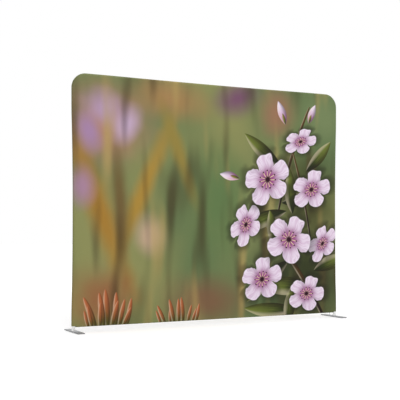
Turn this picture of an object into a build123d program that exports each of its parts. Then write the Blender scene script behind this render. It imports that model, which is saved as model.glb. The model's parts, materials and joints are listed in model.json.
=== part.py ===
"""A free-standing fabric room divider: a bowed tube frame inside a stretched, zipped sleeve, on two flat steel feet.

All sizes are in millimetres. X runs along the panel, Y from front (-) to back (+), Z up, with the origin on the
floor at the middle of the panel. Left and right are as seen from the front.
"""

from build123d import *
from math import hypot, sqrt
import os

os.makedirs("parts", exist_ok=True)

# Overall sizes of the covered panel
overall_width = 2500.0
overall_height = 2000.0
ground_gap = 38.0  # from the floor to the lower edge of the fabric

# Frame tubes
tube_d = 30.0
tube_wall = 1.5
bend_radius = 100.0  # of the tube's centre line at the top corners
bend_leg = 62.0  # straight run at each end of a corner bend
pole_joint_z = 985.0  # where the lower pole ends and the upper one starts
pole_bow = 10.0  # how far the stretched sleeve pulls each pole inwards at that joint
rail_sag = 4.0  # how far it pulls the top rail down in the middle
bow_ease = 0.15  # share of a bowed run over which the tube leans in, before it curves back
butt_gap = 0.2  # between the ends of two tubes

# Ferrules, the short tubes that join the frame tubes from inside
ferrule_reach = 60.0  # into each tube
ferrule_wall = 2.0
slip_gap = 0.08  # all round a part that slides in a tube
lead_in = 1.0  # chamfer on an end that is pushed into a tube
stub_length = 18.0  # of the shoulder between a pole and the bottom rail's spigot
cope_depth = 6.0  # from the pole's axis to the back of the coped shoulder
weld_gap = 0.05  # between the coped shoulder and the pole

# Snap buttons and rivets, each at its own distance from the butt of the two tubes
button_station = 30.0
button_d = 8.0
button_proud = 2.0  # above the outside of the tube
button_dome = 1.6  # rounding of its head
button_skirt_d = 10.0
button_skirt_t = 1.0
skirt_gap = 0.6  # from the skirt's edge to the ferrule's bore
press_margin = 0.5  # past flush with the tube's bore when it is pressed
hole_gap = 0.15  # all round a button or a rivet
rivet_station = -30.0
rivet_d = 4.0
rivet_head_d = 8.0
rivet_head_t = 1.2
rivet_head_slope = 35.0  # degrees, of its sides
rivet_tail_d = 5.6
rivet_tail_t = 2.0

# The V spring behind each button
spring_width = 8.0
spring_t = 0.8
spring_gap = 0.3  # from the ferrule's bore
spring_curl = 2.2  # centre line radius of its bends
spring_behind = 36.0  # from the button's axis to the closed end of the V
spring_ahead = 14.0  # and to its open end
spring_pad = 7.0  # half of the flat that lies under the button

# Feet
foot_length = 320.0
foot_width = 60.0
foot_t = 6.0
foot_corner = 6.0
foot_edge = 0.8  # chamfer round the top of the plate
foot_inset = 8.0  # how far the plate's middle lies inwards of the leg, almost flush with the panel's end
pad_d = 14.0
pad_t = 2.0
pad_inset = 14.0  # from the plate's edges to a pad's middle
seat_gap = 0.2  # between the leg's end and the plate
spigot_height = 90.0
screw_d = 8.0
screw_length = 30.0
screw_head_d = 15.0
screw_head_t = 4.0
screw_socket_d = 5.8  # across the hexagon's corners
screw_socket_depth = 2.5
screw_gap = 0.05

# Sleeve
fabric_t = 0.8
sleeve_gap = 0.4  # between a tube and the fabric
hem_round = 4.0  # inner radius where the lower edge turns under the rail
hem_clear = 3.0  # from the leg to the end of the turned hem
leg_edge_rise = 8.0  # how much higher than the hem the fabric's edge runs round each leg
hem_edge = 6.0  # from the middle of the slot to the fabric's folded edge
rail_lift = 3.0  # room for the zip between the turned hem and the bottom rail

# Zip
tape_t = 0.5
tape_start = 2.3  # from the middle of the slot to a tape's inner edge
tape_clear = 0.2  # from its outer edge to where the hem turns up
coil_t = 1.8
coil_start = 0.6
coil_end = 2.25
zip_end = 45.0  # from the leg's axis to the end of the coils
zip_gap = 0.2  # all round what the slider passes
stop_length = 3.0
slider_length = 12.0
slider_width = 8.0
slider_plate_t = 1.0
slider_lip = 0.7
bail_length = 6.0
bail_t = 1.6
bail_drop = 3.4
pin_d = 1.6
pin_gap = 0.08
pin_drop = 1.9  # from the slider's underside to the puller's pin
puller_width = 4.6
puller_t = 1.0
puller_length = 16.0
puller_neck = 3.8  # from the pin to the puller's solid blade
puller_arm = 1.0

# Sizes that follow from these
tube_r = tube_d / 2
bore_r = tube_r - tube_wall
ferrule_r = bore_r - slip_gap
ferrule_bore_r = ferrule_r - ferrule_wall
joint_straight = ferrule_reach + butt_gap
pole_x = overall_width / 2 - fabric_t - sleeve_gap - tube_r
top_z = overall_height - fabric_t - sleeve_gap - tube_r
hem_floor_z = ground_gap + fabric_t  # upper side of the turned hem
bottom_z = hem_floor_z + rail_lift + tube_r
shoulder_z = top_z - bend_radius - bend_leg
rail_start_x = pole_x - bend_radius - bend_leg
foot_top_z = pad_t + foot_t
leg_end_z = foot_top_z + seat_gap
leg_straight_z = max(foot_top_z + spigot_height, bottom_z + tube_r) + butt_gap
stub_x = pole_x - tube_r - stub_length
button_top = tube_r + button_proud
button_travel = button_proud + tube_wall + slip_gap + press_margin
spring_floor = sqrt(ferrule_bore_r**2 - (spring_width / 2) ** 2) - spring_gap  # depth of the V's lower leg
skirt_base = sqrt(ferrule_bore_r**2 - (button_skirt_d / 2) ** 2) - skirt_gap - button_skirt_t

sides = (("left", -1), ("right", 1))


# Each joint between two tubes is a plane at their butt. Its normal points from the tube that carries the ferrule to
# the one that slides over it, and its x direction is the way the button faces, always to the inside of the sleeve.
def joint_plane(x, z, along, button):
    return Plane(origin=(x, 0, z), x_dir=button, z_dir=along)


joints = {
    "top_centre": joint_plane(0, top_z - rail_sag, (1, 0, 0), (0, 0, -1)),
    "bottom_centre": joint_plane(0, bottom_z, (1, 0, 0), (0, 0, 1)),
}
for side, s in sides:
    joints[f"{side}_pole"] = joint_plane(s * (pole_x - pole_bow), pole_joint_z, (0, 0, 1), (-s, 0, 0))
    joints[f"{side}_shoulder"] = joint_plane(s * pole_x, shoulder_z, (0, 0, -1), (-s, 0, 0))
    joints[f"{side}_corner"] = joint_plane(s * rail_start_x, top_z, (-s, 0, 0), (0, 0, -1))
    joints[f"{side}_rail"] = joint_plane(s * stub_x, bottom_z, (-s, 0, 0), (0, 0, 1))
spigot_joints = ("left_rail", "right_rail")


def radial_plane(joint, station):
    """A plane on the tube's axis at this station, with its normal pointing the way the button faces."""
    origin = joint.origin + joint.z_dir * station
    return Plane(origin=origin, x_dir=joint.z_dir, z_dir=joint.x_dir)


def bowed_run(s, outer, straight, bowed, inner, turn):
    """Adds a tube's centre line to a line, given as X and Z in the right-hand half of the frame: straight from its
    outer end, then over to the bowed place on two tangent arcs, the first of them the shorter, and straight on."""
    chord = hypot(straight[0] - bowed[0], straight[1] - bowed[1])
    shift = min(abs(straight[0] - bowed[0]), abs(straight[1] - bowed[1]))
    middle = tuple(a + (b - a) * bow_ease for a, b in zip(straight, bowed))
    lean_radius = bow_ease * chord**2 / (2 * shift)
    back_radius = (1 - bow_ease) * chord**2 / (2 * shift)
    outer, straight, middle, bowed, inner = [(s * x, z) for x, z in (outer, straight, middle, bowed, inner)]
    Line(outer, straight)
    RadiusArc(straight, middle, -s * turn * lean_radius)
    RadiusArc(middle, bowed, s * turn * back_radius)
    Line(bowed, inner)


def lower_run(s, low_z, gap):
    """The lower pole, from low_z up to the pole joint."""
    straight = (pole_x, leg_straight_z)
    bowed = (pole_x - pole_bow, pole_joint_z - joint_straight)
    bowed_run(s, (pole_x, low_z), straight, bowed, (bowed[0], pole_joint_z - gap), 1)


def upper_run(s, gap):
    """The upper pole, from the shoulder down to the pole joint."""
    straight = (pole_x, shoulder_z - joint_straight)
    bowed = (pole_x - pole_bow, pole_joint_z + joint_straight)
    bowed_run(s, (pole_x, shoulder_z - gap), straight, bowed, (bowed[0], pole_joint_z + gap), -1)


def corner_run(s, gap):
    """The corner bend, from the shoulder round to the top rail."""
    bend_low = (s * pole_x, top_z - bend_radius)
    bend_high = (s * (pole_x - bend_radius), top_z)
    Line((s * pole_x, shoulder_z + gap), bend_low)
    RadiusArc(bend_low, bend_high, -s * bend_radius)
    Line(bend_high, (s * (rail_start_x + gap), top_z))


def top_run(s, gap):
    """One half of the top rail, from the corner bend to the middle of the panel."""
    straight = (rail_start_x - joint_straight, top_z)
    bowed = (joint_straight, top_z - rail_sag)
    bowed_run(s, (rail_start_x - gap, top_z), straight, bowed, (gap, bowed[1]), 1)


def ring(outer, inner):
    """A tube's section, in a sketch."""
    Circle(outer)
    Circle(inner, mode=Mode.SUBTRACT)


def write(part, name):
    part.label = name
    export_step(part, f"parts/{name}.step")


# Drills: the holes that the button, or the rivet, needs in both walls of a joint
button_drills = {}
rivet_drills = {}
for name, joint in joints.items():
    with BuildPart() as button_drill:
        with BuildSketch(radial_plane(joint, button_station)):
            Circle(button_d / 2 + hole_gap)
        extrude(amount=button_top)
    button_drills[name] = button_drill.part
    with BuildPart() as rivet_drill:
        with BuildSketch(radial_plane(joint, rivet_station)):
            Circle(rivet_d / 2 + hole_gap)
        extrude(amount=button_top)
    rivet_drills[name] = rivet_drill.part

# Frame tubes, with the holes of the joints at their ends
half_gap = butt_gap / 2
for side, s in sides:
    with BuildPart() as lower_pole:
        with BuildLine(Plane.XZ) as path:
            lower_run(s, leg_end_z, half_gap)
        with BuildSketch(Plane(origin=(s * pole_x, 0, leg_end_z))):
            ring(tube_r, bore_r)
        sweep(path=path.wires()[0])
        add(rivet_drills[f"{side}_pole"], mode=Mode.SUBTRACT)
    write(lower_pole.part, f"{side}_lower_pole")

    with BuildPart() as upper_pole:
        with BuildLine(Plane.XZ) as path:
            upper_run(s, half_gap)
        with BuildSketch(Plane(origin=(s * pole_x, 0, shoulder_z - half_gap), z_dir=(0, 0, -1))):
            ring(tube_r, bore_r)
        sweep(path=path.wires()[0])
        add(button_drills[f"{side}_pole"], mode=Mode.SUBTRACT)
        add(button_drills[f"{side}_shoulder"], mode=Mode.SUBTRACT)
    write(upper_pole.part, f"{side}_upper_pole")

    with BuildPart() as corner_bend:
        with BuildLine(Plane.XZ) as path:
            corner_run(s, half_gap)
        with BuildSketch(Plane(origin=(s * pole_x, 0, shoulder_z + half_gap))):
            ring(tube_r, bore_r)
        sweep(path=path.wires()[0])
        add(rivet_drills[f"{side}_shoulder"], mode=Mode.SUBTRACT)
        add(rivet_drills[f"{side}_corner"], mode=Mode.SUBTRACT)
    write(corner_bend.part, f"{side}_corner_bend")

    # At the middle of both rails the left half carries the ferrule and the right half slides over it
    centre_drills = rivet_drills if side == "left" else button_drills
    with BuildPart() as top_rail:
        with BuildLine(Plane.XZ) as path:
            top_run(s, half_gap)
        with BuildSketch(Plane(origin=(s * (rail_start_x - half_gap), 0, top_z), z_dir=(-s, 0, 0))):
            ring(tube_r, bore_r)
        sweep(path=path.wires()[0])
        add(button_drills[f"{side}_corner"], mode=Mode.SUBTRACT)
        add(centre_drills["top_centre"], mode=Mode.SUBTRACT)
    write(top_rail.part, f"{side}_top_rail")

    with BuildPart() as bottom_rail:
        with BuildSketch(Plane(origin=(s * half_gap, 0, bottom_z), z_dir=(s, 0, 0))):
            ring(tube_r, bore_r)
        extrude(amount=stub_x - butt_gap)
        add(button_drills[f"{side}_rail"], mode=Mode.SUBTRACT)
        add(centre_drills["bottom_centre"], mode=Mode.SUBTRACT)
    write(bottom_rail.part, f"{side}_bottom_rail")

# Ferrules, riveted in one tube and held in the other by the button
for name, joint in joints.items():
    if name in spigot_joints:
        continue
    with BuildPart() as ferrule:
        with BuildSketch(joint.offset(-ferrule_reach)):
            Circle(ferrule_r)
        extrude(amount=2 * ferrule_reach)
        ends = ferrule.faces().filter_by(GeomType.PLANE)
        chamfer(ends.edges(), lead_in)
        with BuildSketch(joint.offset(-ferrule_reach)):
            Circle(ferrule_bore_r)
        extrude(amount=2 * ferrule_reach, mode=Mode.SUBTRACT)
        add(button_drills[name], mode=Mode.SUBTRACT)
        add(rivet_drills[name], mode=Mode.SUBTRACT)
    write(ferrule.part, f"{name}_ferrule")

# The bottom rail's spigots: a turned shoulder coped to the pole and welded to it, then the part in the rail
for side, s in sides:
    joint = joints[f"{side}_rail"]
    with BuildPart() as spigot:
        with BuildSketch(joint.offset(-half_gap)):
            Circle(ferrule_r)
        extrude(amount=ferrule_reach + half_gap)
        chamfer(spigot.faces().sort_by(Axis(joint.origin, joint.z_dir))[-1].edges(), lead_in)
        with BuildSketch(joint.offset(-half_gap)):
            Circle(tube_r)
        extrude(amount=-(stub_length + tube_r - cope_depth))
        with BuildSketch(Plane(origin=(s * pole_x, 0, 0))):
            Circle(tube_r + weld_gap)
        extrude(amount=leg_straight_z, mode=Mode.SUBTRACT)
        with BuildSketch(joint.offset(ferrule_reach)):
            Circle(ferrule_bore_r)
        extrude(amount=-(ferrule_reach - button_station + spring_behind + spring_gap), mode=Mode.SUBTRACT)
        add(button_drills[f"{side}_rail"], mode=Mode.SUBTRACT)
    write(spigot.part, f"{side}_rail_spigot")

# Snap buttons: a domed pin with a skirt that the ferrule holds back
for name, joint in joints.items():
    seat = radial_plane(joint, button_station)
    with BuildPart() as button:
        with BuildSketch(seat.offset(skirt_base)):
            Circle(button_d / 2)
        extrude(amount=button_top - skirt_base)
        crown = button.faces().filter_by(GeomType.PLANE).sort_by(Axis(seat.origin, seat.z_dir))[-1]
        fillet(crown.edges(), button_dome)
        with BuildSketch(seat.offset(skirt_base)):
            Circle(button_skirt_d / 2)
        extrude(amount=button_skirt_t)
    write(button.part, f"{name}_button")

# V springs: a strip along the ferrule's floor, curled back under the button
lower_leg = -(spring_floor - spring_t / 2)
upper_leg = skirt_base - spring_t / 2
for name, joint in joints.items():
    with BuildPart() as spring:
        with BuildSketch(Plane(origin=joint.origin, x_dir=joint.z_dir, z_dir=joint.y_dir)):
            with BuildLine() as strip:
                FilletPolyline(
                    (button_station + spring_ahead, lower_leg),
                    (button_station - spring_behind + spring_t / 2, lower_leg),
                    (button_station - spring_behind + spring_t / 2, lower_leg + 2 * spring_curl),
                    (button_station - spring_pad, upper_leg),
                    (button_station + spring_pad, upper_leg),
                    radius=(spring_curl, spring_curl, spring_curl),
                )
            trace(line_width=spring_t)
        extrude(amount=spring_width / 2, both=True)
    write(spring.part, f"{name}_spring")

# Rivets that hold the ferrules, each with a domed head outside and an upset tail inside
with BuildPart() as rivets:
    for name, joint in joints.items():
        if name in spigot_joints:
            continue
        seat = radial_plane(joint, rivet_station)
        tail_seat = sqrt(ferrule_bore_r**2 - (rivet_tail_d / 2) ** 2)
        with BuildSketch(seat.offset(tail_seat - rivet_tail_t)):
            Circle(rivet_tail_d / 2)
        extrude(amount=rivet_tail_t)
        with BuildSketch(seat.offset(tail_seat)):
            Circle(rivet_d / 2)
        extrude(amount=tube_r - tail_seat)
        with BuildSketch(seat.offset(tube_r)):
            Circle(rivet_head_d / 2)
        extrude(amount=rivet_head_t, taper=rivet_head_slope)
write(rivets.part, "ferrule_rivets")

# Feet: a flat plate with a turned spigot that the leg stands over, held from below by a countersunk screw
for side, s in sides:
    leg = Plane(origin=(s * pole_x, 0, 0))
    plate_middle = Plane(origin=(s * (pole_x - foot_inset), 0, pad_t))
    with BuildPart() as foot_plate:
        with BuildSketch(plate_middle):
            RectangleRounded(foot_width, foot_length, foot_corner)
        extrude(amount=foot_t)
        chamfer(foot_plate.faces().sort_by(Axis.Z)[-1].edges(), foot_edge)
        with BuildSketch(leg.offset(pad_t)):
            Circle(screw_d / 2 + screw_gap)
        extrude(amount=foot_t, mode=Mode.SUBTRACT)
        with BuildSketch(leg.offset(pad_t)):
            Circle(screw_head_d / 2 + screw_gap)
        with BuildSketch(leg.offset(pad_t + screw_head_t)):
            Circle(screw_d / 2 + screw_gap)
        loft(mode=Mode.SUBTRACT)
    write(foot_plate.part, f"{side}_foot_plate")

    with BuildPart() as foot_spigot:
        with BuildSketch(leg.offset(foot_top_z)):
            Circle(ferrule_r)
        extrude(amount=spigot_height)
        chamfer(foot_spigot.faces().sort_by(Axis.Z)[-1].edges(), lead_in)
        with BuildSketch(leg.offset(foot_top_z)):
            Circle(screw_d / 2 + screw_gap)
        extrude(amount=screw_length, mode=Mode.SUBTRACT)
    write(foot_spigot.part, f"{side}_foot_spigot")

    with BuildPart() as foot_screw:
        with BuildSketch(leg.offset(pad_t)):
            Circle(screw_head_d / 2)
        with BuildSketch(leg.offset(pad_t + screw_head_t)):
            Circle(screw_d / 2)
        loft()
        with BuildSketch(leg.offset(pad_t + screw_head_t)):
            Circle(screw_d / 2)
        extrude(amount=screw_length - screw_head_t)
        with BuildSketch(leg.offset(pad_t)):
            RegularPolygon(screw_socket_d / 2, 6)
        extrude(amount=screw_socket_depth, mode=Mode.SUBTRACT)
    write(foot_screw.part, f"{side}_foot_screw")

    with BuildPart() as foot_pads:
        with BuildSketch(plate_middle):
            with GridLocations(foot_width - 2 * pad_inset, foot_length - 2 * pad_inset, 2, 2):
                Circle(pad_d / 2)
        extrude(amount=-pad_t)
    write(foot_pads.part, f"{side}_foot_pads")

# Sleeve: a front and a back sheet, each wrapped halfway round the tubes to the seam and turned under at the hem
sleeve_r = tube_r + sleeve_gap
hem_half = pole_x - tube_r - hem_clear
hem_turn_z = hem_floor_z + hem_round


def panel_outline(reach):
    """The frame's outline, carried down to the floor and set out by reach, as a face in a sketch."""
    with BuildLine() as outline:
        for _, s in sides:
            lower_run(s, 0, 0)
            upper_run(s, 0)
            corner_run(s, 0)
            top_run(s, 0)
        Line((-pole_x, 0), (pole_x, 0))
    make_face(outline.edges())
    offset(amount=reach)


for face, y in (("front", -1), ("back", 1)):
    sheet_plane = Plane(origin=(0, 0, 0), x_dir=(-y, 0, 0), z_dir=(0, y, 0))
    with BuildPart() as cavity:
        with BuildSketch(sheet_plane):
            panel_outline(sleeve_r)
        extrude(amount=sleeve_r)
        fillet(cavity.faces().sort_by(Axis.Y, reverse=y > 0)[0].edges(), tube_r)

    with BuildPart() as sheet:
        with BuildSketch(sheet_plane):
            panel_outline(sleeve_r + fabric_t)
        extrude(amount=sleeve_r + fabric_t)
        fillet(sheet.faces().sort_by(Axis.Y, reverse=y > 0)[0].edges(), tube_r + fabric_t)
        add(cavity.part, mode=Mode.SUBTRACT)
        split(bisect_by=Plane.XY.offset(ground_gap), keep=Keep.TOP)
        # The edge runs higher round the legs, and between them it is turned under the rail
        with BuildSketch(Plane.XY.offset(ground_gap)):
            Rectangle(2 * overall_width, 4 * sleeve_r)
            Rectangle(2 * hem_half, 4 * sleeve_r, mode=Mode.SUBTRACT)
        extrude(amount=leg_edge_rise, mode=Mode.SUBTRACT)
        with BuildSketch(Plane.XY.offset(ground_gap)):
            Rectangle(2 * hem_half, 4 * sleeve_r)
        extrude(amount=hem_turn_z - ground_gap, mode=Mode.SUBTRACT)
        with BuildSketch(Plane(origin=(-hem_half * y, 0, 0), x_dir=(0, y, 0), z_dir=(y, 0, 0))):
            with BuildLine():
                wall = sleeve_r + fabric_t / 2
                turn = hem_round + fabric_t / 2
                RadiusArc((wall, hem_turn_z), (wall - turn, hem_turn_z - turn), turn)
                Line((wall - turn, hem_turn_z - turn), (hem_edge, hem_turn_z - turn))
            trace(line_width=fabric_t)
        extrude(amount=2 * hem_half)
    write(sheet.part, f"sleeve_{face}")

# Zip tapes, sewn to the upper side of the turned hems, with one row of coil along the inner edge of each
coil_x = pole_x - zip_end
tape_reach = sleeve_r - hem_round - tape_clear
tape_middle_z = hem_floor_z + tape_t / 2
coil_low_z = tape_middle_z - coil_t / 2
coil_high_z = tape_middle_z + coil_t / 2
for face, y in (("front", -1), ("back", 1)):
    with BuildPart() as tape:
        with BuildSketch(Plane(origin=(0, y * (tape_start + tape_reach) / 2, hem_floor_z))):
            Rectangle(2 * hem_half, tape_reach - tape_start)
        extrude(amount=tape_t)
    write(tape.part, f"zip_tape_{face}")

    with BuildPart() as coil:
        coil_middle_y = y * (coil_start + coil_end) / 2
        with BuildSketch(Plane(origin=(-coil_x, coil_middle_y, tape_middle_z), x_dir=(0, 1, 0), z_dir=(1, 0, 0))):
            RectangleRounded(coil_end - coil_start, coil_t, (coil_end - coil_start) / 3)
        extrude(amount=2 * coil_x)
    write(coil.part, f"zip_coil_{face}")

with BuildPart() as zip_stops:
    for _, s in sides:
        with BuildSketch(Plane(origin=(s * (coil_x + stop_length / 2), 0, coil_low_z))):
            RectangleRounded(stop_length, 2 * coil_end, stop_length / 4)
        extrude(amount=coil_t)
write(zip_stops.part, "zip_stops")

# Slider, parked at the right-hand stop: two plates with turned lips, joined at the nose by the web between the rows
slider_x = coil_x - zip_gap - slider_length / 2
slider_low_z = coil_low_z - zip_gap - slider_plate_t
slider_high_z = coil_high_z + zip_gap + slider_plate_t
pin_z = slider_low_z - pin_drop
slider_plane = Plane(origin=(slider_x, 0, slider_low_z))
with BuildPart() as slider:
    with BuildSketch(slider_plane):
        RectangleRounded(slider_length, slider_width, slider_width / 4)
    extrude(amount=slider_high_z - slider_low_z)
    slit_low = hem_floor_z - zip_gap - slider_low_z
    slit_high = hem_floor_z + tape_t + zip_gap - slider_low_z
    with BuildSketch(slider_plane.offset(slit_low)):
        Rectangle(2 * slider_length, 2 * slider_width)
    extrude(amount=slit_high - slit_low, mode=Mode.SUBTRACT)
    with BuildSketch(slider_plane.offset(slider_plate_t)):
        Rectangle(2 * slider_length, slider_width - 2 * slider_lip)
    extrude(amount=coil_t + 2 * zip_gap, mode=Mode.SUBTRACT)
    with BuildSketch(Plane(origin=(slider_x + slider_length / 3, 0, slider_low_z + slider_plate_t / 2))):
        SlotOverall(slider_length / 4, 2 * (coil_start - zip_gap))
    extrude(amount=slider_high_z - slider_low_z - slider_plate_t)
    with BuildSketch(Plane(origin=(slider_x, 0, slider_low_z), x_dir=(1, 0, 0), z_dir=(0, -1, 0))):
        with Locations((0, -bail_drop / 2)):
            Rectangle(bail_length, bail_drop)
        fillet(vertices().group_by(Axis.Y)[0], bail_drop / 3)
        with Locations((0, -pin_drop)):
            Circle(pin_d / 2 + pin_gap, mode=Mode.SUBTRACT)
    extrude(amount=bail_t / 2, both=True)
write(slider.part, "zip_slider")

# Puller, hanging from its pin through the slider's bail
with BuildPart() as puller:
    with BuildSketch(Plane(origin=(slider_x, 0, pin_z), x_dir=(0, 1, 0), z_dir=(1, 0, 0))):
        with Locations((0, (pin_d - puller_length) / 2)):
            Rectangle(puller_width, puller_length)
        fillet(vertices().group_by(Axis.Y)[0], puller_width / 3)
        with Locations((0, (pin_d - puller_neck) / 2)):
            Rectangle(puller_width - 2 * puller_arm, puller_neck + pin_d, mode=Mode.SUBTRACT)
    extrude(amount=puller_t / 2, both=True)
    with BuildSketch(Plane(origin=(slider_x, 0, pin_z), x_dir=(1, 0, 0), z_dir=(0, -1, 0))):
        Circle(pin_d / 2)
    extrude(amount=puller_width / 2, both=True)
write(puller.part, "zip_puller")
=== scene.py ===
# %% [markdown]
# # A printed fabric room divider
# A sleeve of printed stretch knit is pulled over a frame of aluminium tubes and zipped along its lower
# edge. The frame stands on two flat steel feet. The tubes, joints, feet and zip hardware come from the
# construction model as a fixed frame. This lesson makes what a loom, a printer and a sewing machine make:
# the sleeve, its stitches and the zip's tapes and coils. Then it gives every surface its finish.

# %% Load the frame and read its parts' boxes
import json
from math import atan2, hypot, pi, radians, sin

import bpy
import numpy as np
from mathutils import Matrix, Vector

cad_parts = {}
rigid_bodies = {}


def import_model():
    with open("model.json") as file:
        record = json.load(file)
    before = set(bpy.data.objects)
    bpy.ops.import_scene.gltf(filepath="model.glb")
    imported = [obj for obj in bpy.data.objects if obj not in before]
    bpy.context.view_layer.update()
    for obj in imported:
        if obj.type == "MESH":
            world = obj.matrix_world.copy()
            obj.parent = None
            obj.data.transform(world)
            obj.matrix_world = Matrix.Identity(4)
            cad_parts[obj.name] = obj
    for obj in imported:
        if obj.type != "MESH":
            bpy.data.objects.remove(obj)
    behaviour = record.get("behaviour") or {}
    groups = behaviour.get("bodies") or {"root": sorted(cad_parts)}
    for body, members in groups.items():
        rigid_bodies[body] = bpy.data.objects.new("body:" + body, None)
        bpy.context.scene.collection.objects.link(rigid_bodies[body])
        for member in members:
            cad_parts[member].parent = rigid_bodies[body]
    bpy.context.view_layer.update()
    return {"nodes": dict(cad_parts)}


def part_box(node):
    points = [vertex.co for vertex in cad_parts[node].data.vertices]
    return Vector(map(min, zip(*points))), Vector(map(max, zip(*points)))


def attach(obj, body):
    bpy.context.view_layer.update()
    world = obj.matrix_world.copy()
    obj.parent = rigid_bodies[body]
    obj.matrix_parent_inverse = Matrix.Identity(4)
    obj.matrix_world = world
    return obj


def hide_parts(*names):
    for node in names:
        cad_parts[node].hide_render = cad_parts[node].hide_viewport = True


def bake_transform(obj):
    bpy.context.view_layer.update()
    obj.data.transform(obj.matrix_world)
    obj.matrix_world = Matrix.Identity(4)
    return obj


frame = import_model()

MM = 0.001

# %% [markdown]
# ## Camera
# The divider is seen from the front and from well to its left, at waist height, with a long lens. The
# lens stays level, so that the poles stay upright in the picture, and a small upward shift frames the
# panel instead of a tilt.

# %% Camera
camera_place = (-3.418, -6.280, 0.817)
look_along = (0.4633, 0.8862)
camera_data = bpy.data.cameras.new("camera")
camera_data.lens = 76.9
camera_data.shift_y = 0.065
camera = bpy.data.objects.new("camera", camera_data)
camera.location = camera_place
camera.rotation_euler = (pi / 2, 0, -atan2(look_along[0], look_along[1]))
bpy.context.collection.objects.link(camera)
bpy.context.scene.camera = camera
print("camera is", round(hypot(camera_place[0], camera_place[1]), 2), "m from the middle of the panel")

# %% [markdown]
# ## What the sleeve is pulled over
# The cloth touches the outside of the tubes, so its shape follows from where their axes run. The
# construction model knows that, and the boxes of a few of its pieces give it in millimetres: how far out
# the poles stand, how high the top rail lies, and how far the stretched cloth pulls them in at the
# middle.

# %% Read the frame's sizes
def middle(node):
    """The middle of a node's box, in millimetres."""
    low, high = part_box(node)
    return [(a + b) / 2 / MM for a, b in zip(low, high)]


sleeve_low, sleeve_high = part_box("sleeve_front")
ground_gap = sleeve_low[2] / MM
panel_top = sleeve_high[2] / MM
fabric_t = 0.8
sleeve_gap = 0.4
tube_r = (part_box("left_bottom_rail")[1][1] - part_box("left_bottom_rail")[0][1]) / 2 / MM
cloth_r = tube_r + sleeve_gap + fabric_t / 2  # from a tube's axis to the middle of the cloth
pole_x = -middle("left_foot_spigot")[0]
pole_joint_x, _, pole_joint_z = middle("left_pole_ferrule")
pole_bow = pole_x + pole_joint_x
top_z = panel_top - fabric_t / 2 - cloth_r
rail_sag = top_z - middle("top_centre_ferrule")[2]
bend_radius = 100.0  # of the tube at the top corners
ferrule_half = 60.0  # a ferrule keeps this much of each tube straight
shoulder_z = middle("left_shoulder_ferrule")[2]
foot_straight_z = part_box("left_foot_spigot")[1][2] / MM  # a pole starts to bow above its foot's spigot
corner_x = -middle("left_corner_ferrule")[0]
print("poles at", round(pole_x, 1), "bowed by", round(pole_bow, 1))
print("rail at", round(top_z, 1), "sags", round(rail_sag, 1))

# %% [markdown]
# ## The sleeve's two sheets
# The real sleeve is two flat pieces of stretch knit, sewn together round their edge and pulled over the
# tubes. So each sheet starts here as its flat cut, a grid with fine rows near the edges. Every point is
# then carried to its place over the frame: straight across the opening, round the tube by the same length
# of cloth, and over to the seam. The grid keeps its flat places as a map, so that the print lies on the
# cloth as it was printed, before sewing.

# %% Working helpers
def deselect():
    """Operators act on all that is selected, so nothing is, before a new piece is made."""
    bpy.ops.object.select_all(action="DESELECT")


def select_only(piece):
    deselect()
    piece.select_set(True)
    bpy.context.view_layer.objects.active = piece


def new_piece(name):
    """Names what an operator has just added."""
    piece = bpy.context.object
    piece.name = name
    piece.data.name = name
    return piece


def apply_all(piece):
    select_only(piece)
    for modifier in list(piece.modifiers):
        bpy.ops.object.modifier_apply(modifier=modifier.name)


# %% Lines of the flat cut
hem_turn = 4.4  # radius at which the lower edge turns under the rail
leg_edge_rise = 8.0  # the edge runs this much higher round the legs
hem_floor = 5.4  # flat part of the turned hem
hem_clear = 3.0  # between the end of the turned hem and each leg
hem_half = pole_x - tube_r - hem_clear
hem_turn_z = ground_gap + fabric_t / 2 + hem_turn
leg_edge_z = ground_gap + leg_edge_rise
turn_length = hem_turn * pi / 2
wrap_length = cloth_r * pi / 2
cut_half = pole_x + wrap_length
cut_top = top_z + wrap_length
cut_low = hem_turn_z - turn_length - hem_floor


def spaced(start, end, step):
    """Even lines from start to just before end."""
    count = max(1, round(abs(end - start) / step))
    return list(np.linspace(start, end, count + 1)[:-1])


fine_side = hem_half - 250.0  # the lines are fine outside this, for the folds beside each leg
fine_low = 320.0  # and below this height
fine_high = top_z - bend_radius - 100.0  # and above this one, for the folds at the corners
edge_lines = spaced(cut_half, pole_x, 2.5) + spaced(pole_x, hem_half, 6.0)
edge_lines += spaced(hem_half, fine_side, 9.0)
half_lines = edge_lines + spaced(fine_side, 0, 21.0)
columns = np.array([-x for x in half_lines] + [0.0] + half_lines[::-1])
rows = spaced(cut_low, hem_turn_z - turn_length, 1.8) + spaced(hem_turn_z - turn_length, hem_turn_z, 1.2)
rows += [hem_turn_z] + spaced(leg_edge_z, fine_low, 9.0) + spaced(fine_low, fine_high, 22.0)
rows += spaced(fine_high, top_z, 9.0) + spaced(top_z, cut_top, 2.5) + [cut_top]
rows = np.array(rows)
print("flat cut", round(2 * cut_half), "by", round(cut_top - cut_low), "mm")
print("drawn with", len(columns), "by", len(rows), "lines")

# %% [markdown]
# ### How the tubes bow
# Tension pulls each pole inwards. The tube leaves its straight end, leans in over a short stretch and
# curves slowly back, so the curve is two parabolas that share a tangent.

# %% The bow of a tube and the folds of the cloth
bow_ease = 0.15


def bow_share(places, straight, bowed):
    """From 0 at the straight end of a bowed tube to 1 at its bowed end."""
    t = np.clip((places - straight) / (bowed - straight), 0, 1)
    return np.where(t < bow_ease, t**2 / bow_ease, 1 - (1 - t) ** 2 / (1 - bow_ease))


def pole_lean(z):
    upper = bow_share(z, shoulder_z - ferrule_half, pole_joint_z + ferrule_half)
    lower = bow_share(z, foot_straight_z, pole_joint_z - ferrule_half)
    return pole_bow * np.minimum(upper, lower)


def rail_drop(x):
    return rail_sag * bow_share(np.abs(x), corner_x - ferrule_half, ferrule_half)


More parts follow.
